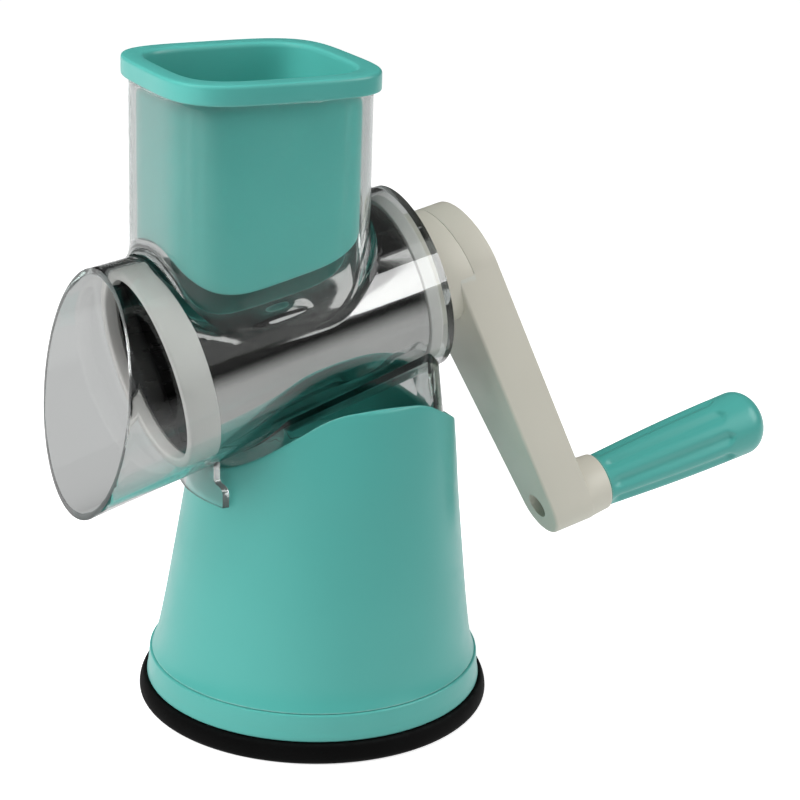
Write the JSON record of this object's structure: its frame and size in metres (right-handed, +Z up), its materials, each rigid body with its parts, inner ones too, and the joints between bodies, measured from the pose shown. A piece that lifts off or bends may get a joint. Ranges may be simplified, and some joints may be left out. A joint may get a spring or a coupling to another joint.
{
  "type": "rotary vegetable grater",
  "caption": "Hand-cranked rotary vegetable grater: steel slicing drum in a clear barrel with a feed chute and pusher, on a tapered base with a suction foot and release lever.",
  "frame": {"origin": "centre of the suction cup's flat sole, on the surface that the grater stands on", "axes": "+X level along the barrel from the spout to the crank, +Z up, -Y the front of the base, the suction lever at +Y"},
  "size_m": [0.292, 0.1381, 0.25],
  "materials": {
    "black_rubber": "matt black rubber",
    "turquoise": "satin turquoise moulding",
    "white_plastic": "satin off-white moulding",
    "stone_plastic": "satin pale stone moulding",
    "clear_plastic": "clear, polished",
    "polished_steel": "polished stainless steel",
    "plated_steel": "zinc-plated steel",
    "grey_nylon": "grey nylon"
  },
  "bodies": {
    "base": {"suction_cup": "black_rubber", "base_plate": "turquoise", "base_shell": "turquoise", "plate_screw_1": "plated_steel", "plate_screw_2": "plated_steel", "plate_screw_3": "plated_steel", "plate_screw_4": "plated_steel", "clear_housing": "clear_plastic", "rear_bush": "white_plastic"},
    "crank": {"drum_front_ring": "white_plastic", "drum_shell": "polished_steel", "drum_hub": "white_plastic", "drive_shaft": "grey_nylon", "crank_collar": "stone_plastic", "crank_arm": "stone_plastic", "hub_screw": "plated_steel", "hub_cap": "stone_plastic", "grip_spindle": "plated_steel"},
    "grip": {"grip": "turquoise"},
    "pusher": {"food_pusher": "turquoise"},
    "lever": {"cam_shaft": "plated_steel", "suction_lever": "turquoise", "lever_screw": "plated_steel"},
    "stem": {"pull_stem": "grey_nylon"}
  },
  "joints": [
    {"name": "crank_turn", "type": "hinge", "parent": "base", "child": "crank", "pos_m": [0, 0, 0.1556], "axis": [0.9744, 0, 0.225], "continuous": true},
    {"name": "grip_spin", "type": "hinge", "parent": "crank", "child": "grip", "pos_m": [0.02357, -0.0181, 0.05348], "axis": [0.9744, 0, 0.225], "continuous": true},
    {"name": "pusher_slide", "type": "slide", "parent": "base", "child": "pusher", "axis": [0, 0, 1], "range_m": [0, 0.075]},
    {"name": "lever_turn", "type": "hinge", "parent": "base", "child": "lever", "pos_m": [0, 0, 0.04], "axis": [0, -1, 0], "range_deg": [0, 90]},
    {"name": "stem_lift", "type": "slide", "parent": "base", "child": "stem", "axis": [0, 0, 1], "range_m": [0, 0.0029]}
  ],
  "couplings": [
    {"joint": "stem_lift", "follows": "lever_turn", "m_per_rad": 0.0018006}
  ]
}
